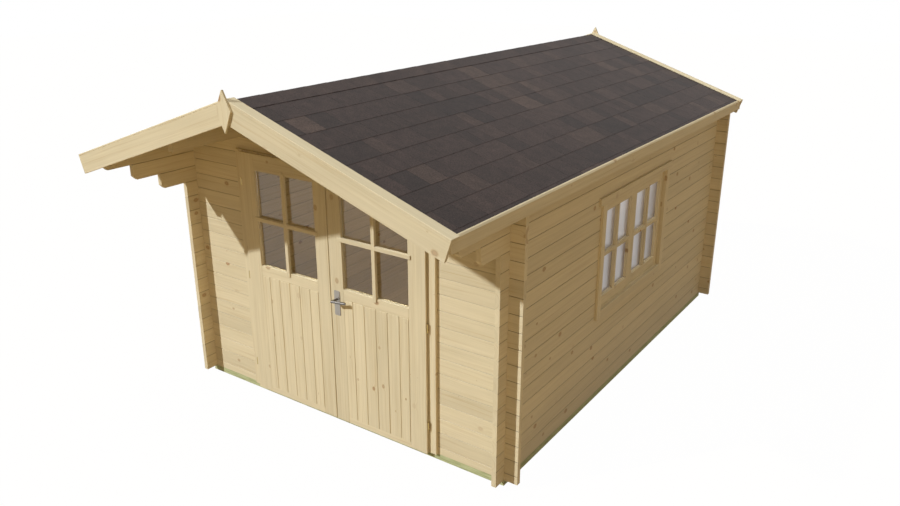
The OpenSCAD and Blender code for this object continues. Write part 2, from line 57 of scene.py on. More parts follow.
# %% Shared planes
MM = 0.001
FIT = 0.3 * MM
CLEAR = 0.5 * MM
PITCH = math.radians(18.8)
HALF_WIDTH = 1.4
LOG_HEIGHT = 0.113
LOG_ROWS = 17
BEAM_TOP = 0.045
EAVE = BEAM_TOP + LOG_ROWS * LOG_HEIGHT
RIDGE = EAVE + HALF_WIDTH * math.tan(PITCH)
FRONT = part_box("front_wall_left")[0][1]
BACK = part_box("back_wall")[1][1]
fascia_low, fascia_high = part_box("fascias")
ROOF_FRONT, ROOF_REAR = fascia_low[1], fascia_high[1]
FASCIA_X = fascia_high[0]
BOARD_T = 20 * MM
SHINGLE_T = 8 * MM
OVER_SHINGLES = BOARD_T + SHINGLE_T
print("ridge underside at", round(RIDGE, 3), "front wall face at", round(FRONT, 4))

# %% [markdown]
# Most pieces of a wooden house are sawn bars. Here a bar starts as a cube primitive that is stretched to
# its size. Only the piece in hand is selected, so that an operator changes no other, and every piece ends
# unturned and unscaled at the origin.

# %% A cube and what is done to it
def select_only(*pieces):
    bpy.ops.object.select_all(action="DESELECT")
    for piece in pieces:
        piece.select_set(True)
    bpy.context.view_layer.objects.active = pieces[0]


def enter(mode):
    bpy.ops.object.mode_set(mode=mode)


def settle(piece):
    """Writes a piece's place, turn and scale into its points."""
    select_only(piece)
    bpy.ops.object.transform_apply(location=True, rotation=True, scale=True)


def ease_edges(piece, width):
    """Rounds off the sharp edges with a bevel modifier and applies it."""
    modifier = piece.modifiers.new("Bevel", "BEVEL")
    modifier.width = width
    modifier.segments = 2
    modifier.limit_method = "ANGLE"
    select_only(piece)
    bpy.ops.object.modifier_apply(modifier=modifier.name)


def stretched_cube(name, low, high):
    """A cube primitive that fills the box between two corners."""
    low, high = Vector(low), Vector(high)
    bpy.ops.object.select_all(action="DESELECT")
    bpy.ops.mesh.primitive_cube_add(size=1, location=(low + high) / 2)
    piece = bpy.context.object
    piece.name = name
    piece.scale = high - low
    settle(piece)
    return piece


# %% [markdown]
# Grain has to follow each bar when it is turned, mirrored or joined to others. So every point of a bar
# stores its place in the bar's own frame: along the fibres, across them, and through the bar's depth. The
# depth also counts the bars, 3 m apart, so that a material can tell one bar from the next.

# %% Bars with fibres
BAR_STEP = 3.0
shuffle = random.Random(7)
bars_made = 0


def lay_fibres(piece, grain):
    """Stores each point's place along the grain, across the bar's width and through it."""
    global bars_made
    bars_made += 1
    sizes = piece.dimensions
    others = sorted((a for a in range(3) if a != grain), key=lambda a: -sizes[a])
    slide = shuffle.uniform(0, 20), shuffle.uniform(0, 5), BAR_STEP * bars_made
    places = []
    for vertex in piece.data.vertices:
        for axis, offset in zip((grain, *others), slide):
            places.append(vertex.co[axis] + offset)
    fibres = piece.data.attributes.new("fibre", "FLOAT_VECTOR", "POINT")
    fibres.data.foreach_set("vector", places)


def sawn_bar(name, low, high, grain, eased=1.5 * MM):
    """A planed bar with eased edges. The grain is 0, 1 or 2 for X, Y or Z."""
    piece = stretched_cube(name, low, high)
    ease_edges(piece, eased)
    lay_fibres(piece, grain)
    return piece


# %% [markdown]
# What repeats is modelled once and copied with a mesh of its own. A mirrored piece is another piece of
# timber, so its fibres are slid on, or both halves of the house would show the same knots.

# %% Copies, joints and cuts
COPY_STEP = 40
COPY_SLIDE = Vector((7.3, 0.41, COPY_STEP * BAR_STEP))


def copied(piece, name):
    twin = piece.copy()
    twin.data = piece.data.copy()
    twin.name = name
    bpy.context.collection.objects.link(twin)
    return twin


def joined(name, pieces):
    select_only(*pieces)
    bpy.ops.object.join()
    whole = bpy.context.object
    whole.name = name
    settle(whole)
    return whole


def mirrored(piece, name):
    """A copy on the other side of the house's middle plane, with its faces turned out again."""
    global bars_made
    bars_made += COPY_STEP
    twin = copied(piece, name)
    fibres = twin.data.attributes.get("fibre")
    if fibres:
        for point in fibres.data:
            point.vector = point.vector + COPY_SLIDE
    twin.scale.x = -1
    settle(twin)
    enter("EDIT")
    bpy.ops.mesh.select_all(action="SELECT")
    bpy.ops.mesh.normals_make_consistent(inside=False)
    enter("OBJECT")
    return twin


def cut_off(piece, point, normal):
    """Saws the piece along a plane and drops what lies on the normal's side."""
    select_only(piece)
    enter("EDIT")
    bpy.ops.mesh.select_all(action="SELECT")
    bpy.ops.mesh.bisect(plane_co=point, plane_no=normal, use_fill=True, clear_outer=True)
    enter("OBJECT")


def onto_slope(piece):
    """Tilts a piece that was laid out flat: X down the slope, Z up from the roof boards' underside."""
    piece.rotation_euler.y = PITCH
    piece.location.z = RIDGE
    settle(piece)
    return piece


# %% [markdown]
# ## Materials
# Colours are written as they look on a screen, in sRGB hex, and one function turns them to the linear
# values that the shader takes. Another adds a node with its settings and links.

# %% Helpers for materials
def colour(code):
    channels = [int(code[i : i + 2], 16) / 255 for i in (1, 3, 5)]
    linear = [c / 12.92 if c <= 0.04045 else ((c + 0.055) / 1.055) ** 2.4 for c in channels]
    return (*linear, 1.0)


def add_node(tree, kind, inputs=(), **settings):
    """A node whose inputs, in order or by name, take a value, a socket or another node's first output."""
    made = tree.nodes.new("ShaderNode" + kind)
    for name, value in settings.items():
        setattr(made, name, value)
    pairs = inputs.items() if isinstance(inputs, dict) else enumerate(inputs)
    for name, value in pairs:
        if isinstance(value, bpy.types.Node):
            value = value.outputs[0]
        if isinstance(value, bpy.types.NodeSocket):
            tree.links.new(value, made.inputs[name])
        else:
            made.inputs[name].default_value = value
    return made


def new_material(name):
    material = bpy.data.materials.new(name)
    material.use_nodes = True
    material.node_tree.nodes.clear()
    return material, material.node_tree


def ramp_stops(ramp, *stops):
    """Sets a colour ramp's stops from pairs of place and colour code."""
    elements = ramp.color_ramp.elements
    while len(elements) < len(stops):
        elements.new(0.5)
    for element, (place, code) in zip(elements, stops):
        element.position = place
        element.color = colour(code)


# %% [markdown]
# ### Spruce
# Fresh planed spruce is pale straw and almost matt. The eye takes it for wood by three things: soft year
# lines along each piece, small round knots with a dark rim, and a tone that changes from piece to piece.
# All spruce here shares one pattern, which takes a place in the bar's own frame in metres, so its scale is
# real. The knots come first. A grid of cells on the bar's face gives each knot a seed, and what is
# measured is how many of its own radii a point lies from the knot's heart.

# %% Knots
KNOT_PITCH = 0.3
KNOT_LANE = 0.113
KNOT_STRETCH = 1.35


def knots(tree, place):
    """The distance to the nearest knot in that knot's radii, and a random number of its own."""
    grid = add_node(tree, "VectorMath", [place, (KNOT_PITCH, KNOT_LANE, 1)], operation="DIVIDE")
    cells = add_node(
        tree, "TexVoronoi", {"Vector": grid, "Scale": 1.0, "Randomness": 0.95}, voronoi_dimensions="2D"
    )
    away = add_node(tree, "VectorMath", [grid, cells.outputs["Position"]], operation="SUBTRACT")
    metres = (KNOT_PITCH / KNOT_STRETCH, KNOT_LANE, 0)
    away = add_node(tree, "VectorMath", [away, metres], operation="MULTIPLY")
    reach = add_node(tree, "VectorMath", [away], operation="LENGTH").outputs["Value"]

    # The rim is ragged by up to 3 mm either way
    ragged = add_node(tree, "TexNoise", {"Vector": place, "Scale": 90.0, "Detail": 1.0})
    ragged = add_node(tree, "Math", [ragged, 0.5], operation="SUBTRACT")
    reach = add_node(tree, "Math", [ragged, 6 * MM, reach], operation="MULTIPLY_ADD")

    # Fewer than half of the cells hold a knot that shows, and few knots are as wide as 25 mm
    luck = add_node(tree, "SeparateColor", [cells.outputs["Color"]])
    span = {"Value": luck, "From Min": 0.58, "From Max": 1.0, "To Min": 0.1 * MM, "To Max": 12.5 * MM}
    radius = add_node(tree, "MapRange", span, interpolation_type="SMOOTHSTEP")
    return add_node(tree, "Math", [reach, radius], operation="DIVIDE"), luck.outputs[1]


# %% [markdown]
# Year lines are noise that is drawn out along the bar, once coarse and once fine. They sway a little over
# the bar's length and swell round each knot, as the stem's fibres grew round the branch.

# %% Year lines
def year_lines(tree, place, knot):
    """Light and dark of the year lines, where knot is the distance to a knot in its radii."""
    along, across, depth = add_node(tree, "SeparateXYZ", [place]).outputs
    slow = add_node(tree, "VectorMath", [place, (1.6, 9, 9)], operation="MULTIPLY")
    sway = add_node(tree, "TexNoise", {"Vector": slow, "Scale": 1.0, "Detail": 2.0, "Roughness": 0.5})
    sway = add_node(tree, "Math", [sway, 0.5], operation="SUBTRACT")
    span = {"Value": knot, "From Min": 1.0, "From Max": 4.0, "To Min": 12 * MM, "To Max": 0.0}
    swell = add_node(tree, "MapRange", span, interpolation_type="SMOOTHSTEP")
    bent = add_node(tree, "Math", [sway, 30 * MM, across], operation="MULTIPLY_ADD")
    bent = add_node(tree, "Math", [bent, swell], operation="ADD")
    year = 0.0
    for per_metre, stretch, share in ((55, 1.1, 0.62), (190, 2.4, 0.38)):
        length = add_node(tree, "Math", [along, stretch], operation="MULTIPLY")
        width = add_node(tree, "Math", [bent, per_metre], operation="MULTIPLY")
        through = add_node(tree, "Math", [depth, per_metre], operation="MULTIPLY")
        drawn = add_node(tree, "CombineXYZ", [length, width, through])
        noise = add_node(tree, "TexNoise", {"Vector": drawn, "Scale": 1.0, "Detail": 2.0, "Roughness": 0.6})
        year = add_node(tree, "Math", [noise, share, year], operation="MULTIPLY_ADD")
    return year


# %% [markdown]
# Boards from different trees differ in tone, and even one board is a little cloudy. About half of the
# tone here is the bar's own, and the rest comes from clouds that are drawn out along it.

# %% Tone of each bar
def bar_tone(tree, place):
    """How bright the wood is at a place, a little under or over 1."""
    depth = add_node(tree, "SeparateXYZ", [place]).outputs[2]
    number = add_node(tree, "Math", [depth, BAR_STEP], operation="DIVIDE")
    number = add_node(tree, "Math", [number, 0.5], operation="ADD")
    number = add_node(tree, "Math", [number], operation="FLOOR")
    own = add_node(tree, "TexWhiteNoise", {"W": number}, noise_dimensions="1D")
    own = add_node(tree, "Math", [own, 0.45], operation="MULTIPLY")
    slow = add_node(tree, "VectorMath", [place, (2.2, 14, 8)], operation="MULTIPLY")
    cloud = add_node(tree, "TexNoise", {"Vector": slow, "Scale": 1.0, "Detail": 3.0})
    both = add_node(tree, "Math", [cloud, 0.55, own], operation="MULTIPLY_ADD")
    span = {"Value": both, "From Min": 0.15, "From Max": 0.85, "To Min": 0.88, "To Max": 1.07}
    return add_node(tree, "MapRange", span)


# %% [markdown]
# The surface puts these together. Late wood is darker, harder and smoother than early wood, so the year
# lines drive colour, roughness and a shallow relief. A knot covers the wood with its own rings, from a
# tan heart over a brown rim to a yellowish halo, and some knots are much fainter than others.

# %% Spruce surface
def spruce_surface(tree, place, shade=None):
    """Builds spruce on a place (along, across, depth); shade darkens it where it is 0."""
    knot, luck = knots(tree, place)
    year = year_lines(tree, place, knot)
    wood = add_node(tree, "ValToRGB", [year])
    ramp_stops(wood, (0.28, "#c9b48a"), (0.45, "#d5c7a3"), (0.58, "#dacca9"), (0.74, "#dfd3b2"))
    tone = bar_tone(tree, place)
    wood = add_node(tree, "VectorMath", {0: wood, "Scale": tone}, operation="SCALE").outputs[0]
    # Where shade is 0 the wood turns to the dark brown of painted joint shade
    if shade is not None:
        mixed = {0: shade, 6: colour("#4f3719"), 7: wood}
        wood = add_node(tree, "Mix", mixed, data_type="RGBA").outputs[2]

    rings = add_node(tree, "Math", [knot, 4.0], operation="DIVIDE")
    heart = add_node(tree, "ValToRGB", [rings])
    ramp_stops(
        heart, (0.0, "#a9794a"), (0.17, "#9a6a3c"), (0.235, "#7d4f2a"), (0.3, "#b08a55"), (0.55, "#c9b27f")
    )
    strength = add_node(tree, "MapRange", {"Value": luck, "From Min": 0.2, "To Min": 0.15, "To Max": 0.75})
    span = {"Value": knot, "From Min": 0.9, "From Max": 1.9, "To Min": strength, "To Max": 0.0}
    cover = add_node(tree, "MapRange", span, interpolation_type="SMOOTHSTEP")
    final = add_node(tree, "Mix", {0: cover, 6: wood, 7: heart}, data_type="RGBA").outputs[2]
    span = {"Value": year, "From Min": 0.3, "From Max": 0.7, "To Min": 0.62, "To Max": 0.78}
    rough = add_node(tree, "MapRange", span)
    bump = add_node(tree, "Bump", {"Strength": 0.25, "Distance": 0.6 * MM, "Height": year})
    look = {"Base Color": final, "Roughness": rough, "Normal": bump, "IOR": 1.5, "Specular IOR Level": 0.35}
    add_node(tree, "OutputMaterial", [add_node(tree, "BsdfPrincipled", look)])


# %% [markdown]
# The log walls keep the model's own shape, whose bevelled joints are already cut. Their material reads
# the place of each point and works out the log that it lies in: logs are 113 mm high, and the end walls
# start half a log lower than the side walls. On the sawn end of a log the lines turn to year rings, round
# a pith that lies behind the log.

# %% Each point's place in its log
FAR_WALL = 40.0
FACES_END = 0.7
PITH_UP = 50 * MM
PITH_BEHIND = 60 * MM
GRAIN_SLIDE = 9.0
THROUGH = 0.1


def in_its_log(tree, spot, grain, half_log):
    """The place in the log's frame, the height within the log, and 1 on a sawn end."""
    x, y, z = add_node(tree, "SeparateXYZ", [spot]).outputs
    if grain == 0:
        along, depth = x, y
        aside = add_node(tree, "Math", [y, (FRONT + BACK) / 2], operation="SUBTRACT")
        aside = add_node(tree, "Math", [aside], operation="ABSOLUTE")
        inwards = add_node(tree, "Math", [(BACK - FRONT) / 2, aside], operation="SUBTRACT")
    else:
        along, depth = y, x
        aside = add_node(tree, "Math", [x], operation="ABSOLUTE")
        inwards = add_node(tree, "Math", [HALF_WIDTH, aside], operation="SUBTRACT")
    foot = BEAM_TOP - half_log * LOG_HEIGHT
    height = add_node(tree, "Math", [z, foot], operation="SUBTRACT")
    height = add_node(tree, "Math", [height, LOG_HEIGHT], operation="DIVIDE")
    row = add_node(tree, "Math", [height], operation="FLOOR")
    within = add_node(tree, "Math", [height, row], operation="SUBTRACT")
    within = add_node(tree, "Math", [within, LOG_HEIGHT], operation="MULTIPLY")

    normal = add_node(tree, "NewGeometry").outputs["Normal"]
    facing = add_node(tree, "SeparateXYZ", [normal]).outputs[grain]
    facing = add_node(tree, "Math", [facing], operation="ABSOLUTE")
    sawn_end = add_node(tree, "Math", [facing, FACES_END], operation="GREATER_THAN")
    up = add_node(tree, "Math", [within, PITH_UP], operation="SUBTRACT")
    behind = add_node(tree, "Math", [inwards, PITH_BEHIND], operation="SUBTRACT")
    ring = add_node(tree, "CombineXYZ", [up, behind])
    ring = add_node(tree, "VectorMath", [ring], operation="LENGTH").outputs["Value"]
    across = add_node(tree, "Mix", {0: sawn_end, 2: within, 3: ring}, data_type="FLOAT")

    # Every log has a number, which slides its grain and steps its depth
    far = add_node(tree, "Math", [depth, 0.0], operation="GREATER_THAN")
    number = add_node(tree, "Math", [far, FAR_WALL, row], operation="MULTIPLY_ADD")
    slide = add_node(tree, "TexWhiteNoise", {"W": number}, noise_dimensions="1D")
    slid = add_node(tree, "Math", [slide, GRAIN_SLIDE, along], operation="MULTIPLY_ADD")
    step = add_node(tree, "Math", [number, BAR_STEP], operation="MULTIPLY")
    through = add_node(tree, "Math", [inwards, THROUGH, step], operation="MULTIPLY_ADD")
    return add_node(tree, "CombineXYZ", [slid, across, through]), within, sawn_end


# %% [markdown]
# The joint between two logs is a narrow groove, and little light reaches its bottom. The material paints
# that shade as a thin dark line at the log's edges. The line is painted darker where the front and back
# logs stand past the corners, as painted shade for the shadow that the crossing logs cast there.

# %% Spruce for walls of logs
PAST_CORNER_SHADE = 0.35


def log_spruce(name, grain, half_log, joint):
    """Spruce for a wall of logs along X or Y; joint is how much light the bottom of a joint keeps."""
    material, tree = new_material(name)
    spot = add_node(tree, "TexCoord").outputs["Object"]
    place, within, sawn_end = in_its_log(tree, spot, grain, half_log)
    rest = add_node(tree, "Math", [LOG_HEIGHT, within], operation="SUBTRACT")
    near = add_node(tree, "Math", [within, rest], operation="MINIMUM")
    # Past the corners the joints get extra painted shade
    out = add_node(tree, "SeparateXYZ", [spot]).outputs[0]
    out = add_node(tree, "Math", [out], operation="ABSOLUTE")
    out = add_node(tree, "Math", [out, HALF_WIDTH], operation="GREATER_THAN")
    bottom = add_node(tree, "Math", [out, -PAST_CORNER_SHADE, joint], operation="MULTIPLY_ADD")
    span = {"Value": near, "From Min": 0.6 * MM, "From Max": 3.6 * MM, "To Min": bottom, "To Max": 1.0}
    shade = add_node(tree, "MapRange", span)
    shade = add_node(tree, "Math", [shade, sawn_end], operation="MAXIMUM")
    spruce_surface(tree, place, shade)
    return material


# The side walls' joints get darker painted shade than the end walls', since the right wall lies in shade
# and the front in sun
end_wall_spruce = log_spruce("Spruce_logs_across", 0, 0.5, 0.64)
side_wall_spruce = log_spruce("Spruce_logs_lengthways", 1, 0.0, 0.45)
print("log walls:", end_wall_spruce.name, side_wall_spruce.name)

# %% [markdown]
# Purlins run from front to back and are told apart by where they lie across the house. Bars that were
# modelled here carry their own fibres, and their material only has to read them.

# %% Spruce for beams and bars
BEAM_STEP, FIRST_BEAM = 1.5, 70.0
purlin_spruce, tree = new_material("Spruce_beams")
spot = add_node(tree, "TexCoord").outputs["Object"]
x, y, z = add_node(tree, "SeparateXYZ", [spot]).outputs
number = add_node(tree, "Math", [x, BEAM_STEP, FIRST_BEAM], operation="MULTIPLY_ADD")
number = add_node(tree, "Math", [number], operation="ROUND")
step = add_node(tree, "Math", [number, BAR_STEP], operation="MULTIPLY")
through = add_node(tree, "Math", [x, THROUGH, step], operation="MULTIPLY_ADD")
spruce_surface(tree, add_node(tree, "CombineXYZ", [y, z, through]))

planed_spruce, tree = new_material("Planed_spruce")
spruce_surface(tree, add_node(tree, "Attribute", attribute_name="fibre").outputs["Vector"])
print("beams and bars:", purlin_spruce.name, planed_spruce.name)

# %% [markdown]
# ### Pressure-treated timber
# The base beams are spruce too, but the salts pressed into it turn it a pale olive green. It is rough
# sawn and quite matt, and shows as a green streak along the foot of the walls.

# %% Treated timber
green_timber, tree = new_material("Pressure_treated_timber")
spot = add_node(tree, "TexCoord").outputs["Object"]
drawn = add_node(tree, "VectorMath", [spot, (9, 9, 120)], operation="MULTIPLY")
streaks = add_node(tree, "TexNoise", {"Vector": drawn, "Scale": 1.0, "Detail": 3.0, "Roughness": 0.65})
tone = add_node(tree, "ValToRGB", [streaks])
ramp_stops(tone, (0.3, "#8f9468"), (0.52, "#b3b788"), (0.75, "#c3c79c"))
bump = add_node(tree, "Bump", {"Strength": 0.3, "Distance": 0.8 * MM, "Height": streaks})
look = {"Base Color": tone, "Roughness": 0.8, "Normal": bump, "Specular IOR Level": 0.3}
add_node(tree, "OutputMaterial", [add_node(tree, "BsdfPrincipled", look)])
print("base:", green_timber.name)

# %% [markdown]
# ### Slate-gritted felt
# Shingles are bitumen felt under crushed slate, dark brown and grey. The grit gives the eye a fine
# speckle and a dull sheen, each tab comes in a tone of its own, and weather leaves faint blotches over
# several tabs. Real grit is about 1 mm, too fine to show, so it is drawn 8 mm coarse.

# %% Shingle felt
shingle_felt, tree = new_material("Slate_grit_bitumen_felt")
spot = add_node(tree, "TexCoord").outputs["Object"]
tab = add_node(tree, "Attribute", attribute_name="tab_tone").outputs["Fac"]
base = add_node(tree, "ValToRGB", [tab])
darks = (0.0, "#271f1c"), (0.3, "#2e2420"), (0.6, "#342925")
ramp_stops(base, *darks, (0.85, "#3d312b"), (1.0, "#463932"))
grit = add_node(tree, "TexNoise", {"Vector": spot, "Scale": 125.0, "Detail": 3.0})
blotch = add_node(tree, "TexNoise", {"Vector": spot, "Scale": 14.0, "Detail": 4.0})
middle = {"From Min": 0.3, "From Max": 0.7}
speck = add_node(tree, "MapRange", {"Value": grit, **middle, "To Min": 0.5, "To Max": 1.5})
cloudy = add_node(tree, "MapRange", {"Value": blotch, **middle, "To Min": 0.78, "To Max": 1.2})
tone = add_node(tree, "Math", [speck, cloudy], operation="MULTIPLY")
final = add_node(tree, "VectorMath", {0: base, "Scale": tone}, operation="SCALE")
bump = add_node(tree, "Bump", {"Strength": 0.5, "Distance": 1.0 * MM, "Height": grit})
look = {"Base Color": final, "Roughness": 0.6, "Normal": bump, "Specular IOR Level": 0.19}
add_node(tree, "OutputMaterial", [add_node(tree, "BsdfPrincipled", look)])
print("roof:", shingle_felt.name)

# %% [markdown]
# ### Steel
# The handle's plates are brushed stainless steel. Fine lines along them spread each highlight to a soft
# band. The lever is the same steel with a darker colour, a painted reflection of the dim surroundings that
# it mirrors, which keeps it apart from its plate, and the hinges have the warm yellow of passivated zinc.

# %% Metals
def brushed_steel(name, tint):
    material, tree = new_material(name)
    spot = add_node(tree, "TexCoord").outputs["Object"]
    drawn = add_node(tree, "VectorMath", [spot, (900, 900, 20)], operation="MULTIPLY")
    lines = add_node(tree, "TexNoise", {"Vector": drawn, "Scale": 1.0, "Detail": 2.0})
    rough = add_node(tree, "MapRange", {"Value": lines, "To Min": 0.28, "To Max": 0.46})
    look = {"Base Color": colour(tint), "Metallic": 1.0, "Roughness": rough}
    add_node(tree, "OutputMaterial", [add_node(tree, "BsdfPrincipled", look)])
    return material


steel = brushed_steel("Brushed_stainless_steel", "#a59e94")
# The lever's darker tint is a painted reflection of dim surroundings
darkened_lever_steel = brushed_steel("Steel_bar_darkened_for_reflection", "#6f6a64")
zinc = brushed_steel("Yellow_passivated_zinc_on_steel", "#b39a62")
print("metals:", steel.name, darkened_lever_steel.name, zinc.name)

# %% [markdown]
# ### Glass
# The door has clear float glass: the eye looks through it into the dim room, under a faint reflection.
# The window's panes are coated. They throw the pale surroundings back, softly blurred, and hide the room.
# Lamps shine through both without being bent, so that daylight reaches the floor inside.

# %% Panes
def float_glass(name, tint, ior, roughness):
    material, tree = new_material(name)
    look = {"Base Color": colour(tint), "Roughness": roughness, "IOR": ior, "Transmission Weight": 1.0}
    pane = add_node(tree, "BsdfPrincipled", look)
    clear = add_node(tree, "BsdfTransparent", [(0.9, 0.92, 0.9, 1.0)])
    lamp_ray = add_node(tree, "LightPath").outputs["Is Shadow Ray"]
    both = add_node(tree, "MixShader", [lamp_ray, pane, clear])
    add_node(tree, "OutputMaterial", [both])
    return material


door_glass = float_glass("Float_glass", "#efe6d8", 1.45, 0.02)
window_glass = float_glass("Satin_coated_glass", "#e9e3ea", 2.9, 0.32)
print("panes:", door_glass.name, window_glass.name)

# %% [markdown]
# Logs, purlins, base beams, hinges, levers and panes already have their real shape in the construction
# model. They stay as they are and only get their finish.

# %% Finishes for the nodes that stay
end_walls = ["front_wall_left", "front_wall_right", "front_wall_top", "back_wall"]
side_walls = ["left_wall", "right_wall_lower", "right_wall_front", "right_wall_rear"]
finishes = {
    end_wall_spruce: [*end_walls, "front_gable", "back_gable"],
    side_wall_spruce: [*side_walls, "left_eave_logs", "right_eave_logs"],
    purlin_spruce: ["ridge_purlin", "side_purlins"],
    green_timber: ["side_beams", "end_beams", "floor_joists"],
    darkened_lever_steel: ["handle_levers"],
    zinc: ["hinge_pins", "hinge_barrels_left", "hinge_barrels_right"],
    door_glass: ["door_glass_left", "door_glass_right"],
    window_glass: ["window_glass"],
}
for material, names in finishes.items():
    for name in names:
        for slot in cad[name].material_slots:
            slot.material = material
print("nodes kept:", sum(len(names) for names in finishes.values()))

# %% [markdown]
# A finished piece rides on one body of the model and takes its material, and the plain nodes that it
# stands for are hidden. Most pieces are planed spruce on the house.

# %% Hand a piece over
def hand_over(piece, *nodes, body="house", slot="planed_spruce", material=planed_spruce):
    piece.data.materials.clear()
    piece.data.materials.append(material)
    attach(piece, body)
    if nodes:
        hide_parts(*nodes)


# %% [markdown]
# ## The roof
# Boards 96 mm wide run from the ridge to the eaves. They are laid out flat side by side, each with grain
# of its own, and their bevelled edges make a groove between two. The whole layer is then tilted onto the
# slope and sawn plumb at the ridge and behind the fascia.

# %% Roof boards
ROOF_BOARD = 96 * MM
SPARE = 20 * MM
SEAM = 0.2 * MM
FASCIA_T = 18 * MM
FASCIA_BACK = FASCIA_X - FASCIA_T


def roof_boards(name):
    slope_length = FASCIA_X / math.cos(PITCH)
    boards = []
    for k in range(math.ceil((ROOF_REAR - ROOF_FRONT) / ROOF_BOARD)):
        low = ROOF_FRONT + k * ROOF_BOARD
        high = min(low + ROOF_BOARD, ROOF_REAR)
        ends = (-SPARE, low, 0), (slope_length + SPARE, high, BOARD_T)
        boards.append(sawn_bar("board", *ends, 0, 2.5 * MM))
    layer = onto_slope(joined(name, boards))
    cut_off(layer, (SEAM, 0, 0), (-1, 0, 0))
    cut_off(layer, (FASCIA_BACK, 0, 0), (1, 0, 0))
    return layer


boards_right = roof_boards("Roof_boards_right")
boards_left = mirrored(boards_right, "Roof_boards_left")
hand_over(boards_right, "roof_boards_right", slot="spruce")
hand_over(boards_left, "roof_boards_left", slot="spruce")
print("roof boards:", len(boards_right.data.polygons), "faces a slope")

# %% [markdown]
# Shingles come as strips with rectangular tabs. A tab is a thin wedge, lifted at its butt edge by the
# course under it: a stretched cube whose upper butt edge is raised and whose corners are rounded. Each
# tab stores a tone that the felt's colour reads.

# %% One tab of felt
NEAR = 1 * MM


def chosen(piece, kind, wanted):
    """Enters edit mode with only those vertices, edges or faces selected that the test wants."""
    select_only(piece)
    enter("EDIT")
    bpy.ops.mesh.select_mode(type=kind)
    bpy.ops.mesh.select_all(action="DESELECT")
    enter("OBJECT")
    points = piece.data.vertices
    if kind == "VERT":
        for point in points:
            point.select = wanted(point.co)
    if kind == "EDGE":
        for edge in piece.data.edges:
            edge.select = wanted(*(points[i].co for i in edge.vertices))
    if kind == "FACE":
        for face in piece.data.polygons:
            face.select = wanted(face.center, face.normal)
    enter("EDIT")


def felt_tab(name, low, high, butt, lift):
    """A wedge of felt between two corners; butt is the axis whose high end is lifted."""
    piece = stretched_cube(name, low, high)
    end = high[butt] - NEAR
    chosen(piece, "VERT", lambda spot: spot[butt] > end and spot.z > high[2] - NEAR)
    bpy.ops.transform.translate(value=(0, 0, lift))
    enter("OBJECT")
    chosen(piece, "EDGE", lambda a, b: min(a[butt], b[butt]) > end and abs(a.z - b.z) > NEAR)
    bpy.ops.mesh.bevel(offset=4 * MM, segments=2, affect="EDGES")
    enter("OBJECT")
    piece.data.attributes.new("tab_tone", "FLOAT", "POINT")
    return piece


def laid(model, name, offset, tone):
    """A copy of a tab in its place, with its own tone."""
    twin = copied(model, name)
    twin.location = offset
    twin.data.attributes["tab_tone"].data.foreach_set("value", [tone] * len(twin.data.vertices))
    return twin


# %% [markdown]
# A course covers all but 180 mm of the one below. One tab of each width is modelled, and copies of these
# fill ten courses from front to back, in a mixed order and with mixed tones. A course starts a little
# before the roof's edge, and the whole slope is trimmed afterwards, as a roofer trims it.

# %% Shingles
COURSE = 180 * MM
COURSES = 10
CAP = 120 * MM
LAP = 25 * MM
TAB_T = 6 * MM
TAB_LIFT = 1.5 * MM
TAB_TONE = (0.45, 0.27)
TAB_WIDTHS = (110, 110, 165, 165, 220, 330)
SLOT_MM = 0.8
DRIP = 4 * MM
SLOPE_END = (FASCIA_X + DRIP) / math.cos(PITCH)
bed = BOARD_T + CLEAR
tab_models = {}
for width in sorted(set(TAB_WIDTHS)):
    corners = (-COURSE - LAP, 0, bed), (0, (width - SLOT_MM) * MM, bed + TAB_T)
    tab_models[width] = felt_tab(f"tab_model_{width}", *corners, 0, TAB_LIFT)


def shingle_slope(name, seed):
    """All courses of one slope. They are trimmed to the roof's edges while they lie flat."""
    pick = random.Random(seed)
    tabs = []
    for course in range(COURSES):
        butt = CAP + COURSE * course
        start = ROOF_FRONT - pick.uniform(0.02, 0.1)
        while start < ROOF_REAR:
            width = pick.choice(TAB_WIDTHS)
            tone = min(1.0, max(0.0, pick.gauss(*TAB_TONE)))
            tabs.append(laid(tab_models[width], "tab", (butt, start, 0), tone))
            start += width * MM
    layer = joined(name, tabs)
    cut_off(layer, (0, 0, 0), (-1, 0, 0))
    cut_off(layer, (SLOPE_END, 0, 0), (1, 0, 0))
    cut_off(layer, (0, ROOF_FRONT, 0), (0, -1, 0))
    cut_off(layer, (0, ROOF_REAR, 0), (0, 1, 0))
    onto_slope(layer)
    cut_off(layer, (SEAM, 0, 0), (-1, 0, 0))
    cut_off(layer, (FASCIA_BACK - CLEAR, 0, 0), (1, 0, 0))
    return layer


shingles_right = shingle_slope("Shingles_right", 3)
turned = shingle_slope("Shingles_turned", 11)
shingles_left = mirrored(turned, "Shingles_left")
hand_over(shingles_right, "shingles_right", slot="bitumen_shingle", material=shingle_felt)
hand_over(shingles_left, "shingles_left", slot="bitumen_shingle", material=shingle_felt)
print("shingle faces:", len(shingles_right.data.polygons))

# %% [markdown]
# The ridge is covered with single tabs folded over it. Each is laid as two halves, one on each slope,
# and its rear edge lies on the next one, so they climb a little like scales from front to back.

